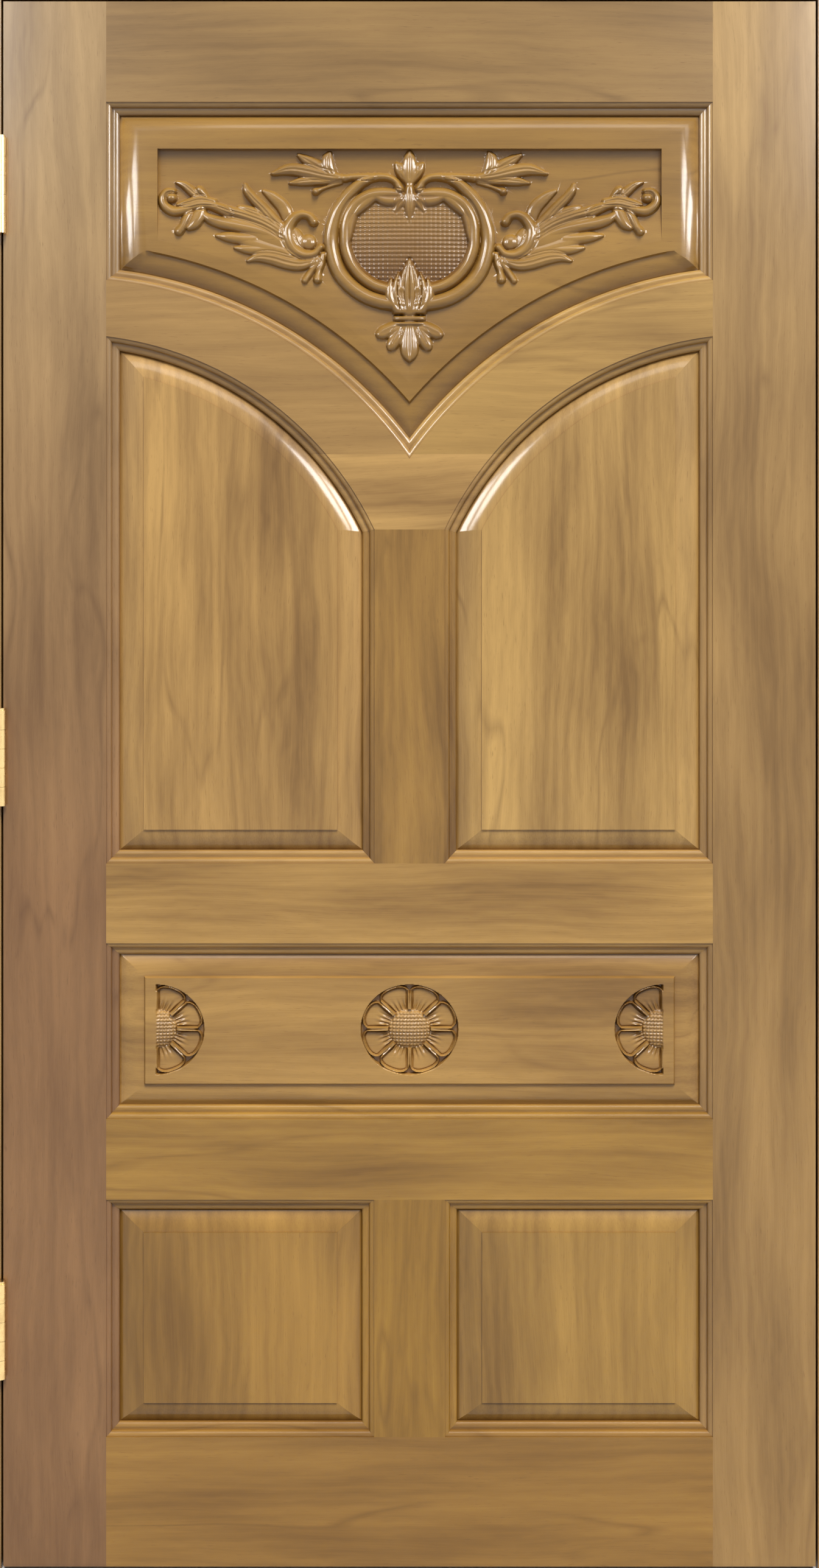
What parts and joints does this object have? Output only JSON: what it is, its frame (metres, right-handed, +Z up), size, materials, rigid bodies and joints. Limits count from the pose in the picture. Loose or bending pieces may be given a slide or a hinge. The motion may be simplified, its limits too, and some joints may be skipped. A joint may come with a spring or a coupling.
{
  "type": "panelled teak door",
  "caption": "Panelled teak door leaf with a carved head panel, arched panels and a rosette frieze, hung in a plain frame on butt hinges.",
  "frame": {"origin": "on the floor, in the middle of the whole door's box", "axes": "+X to the viewer's right, +Y through the doorway away from the viewer, +Z up"},
  "size_m": [1.169, 0.112, 2.114],
  "materials": {
    "leaf_teak": "satin lacquer over golden brown teak",
    "panel_teak": "satin lacquer over golden brown teak, carved in places",
    "frame_teak": "satin lacquer over golden brown teak",
    "hinge_brass": "satin brass",
    "screw_brass": "satin brass"
  },
  "bodies": {
    "frame": {"left_jamb": "frame_teak", "right_jamb": "frame_teak", "frame_head": "frame_teak", "top_hinge_frame_plate": "hinge_brass", "middle_hinge_frame_plate": "hinge_brass", "bottom_hinge_frame_plate": "hinge_brass", "top_hinge_pin": "hinge_brass", "middle_hinge_pin": "hinge_brass", "bottom_hinge_pin": "hinge_brass", "frame_screws": "screw_brass"},
    "leaf": {"left_stile": "leaf_teak", "right_stile": "leaf_teak", "top_rail": "leaf_teak", "left_branch": "leaf_teak", "right_branch": "leaf_teak", "branch_hub": "leaf_teak", "upper_muntin": "leaf_teak", "lock_rail": "leaf_teak", "cross_rail": "leaf_teak", "lower_muntin": "leaf_teak", "bottom_rail": "leaf_teak", "carved_panel": "panel_teak", "left_arch_panel": "panel_teak", "right_arch_panel": "panel_teak", "frieze_panel": "panel_teak", "left_lower_panel": "panel_teak", "right_lower_panel": "panel_teak", "top_hinge_leaf_plate": "hinge_brass", "middle_hinge_leaf_plate": "hinge_brass", "bottom_hinge_leaf_plate": "hinge_brass", "leaf_screws": "screw_brass"}
  },
  "joints": [
    {"name": "leaf_swing", "type": "hinge", "parent": "frame", "child": "leaf", "pos_m": [-0.535, -0.05, 1.0345], "axis": [0, 0, -1], "range_deg": [0, 170]}
  ]
}
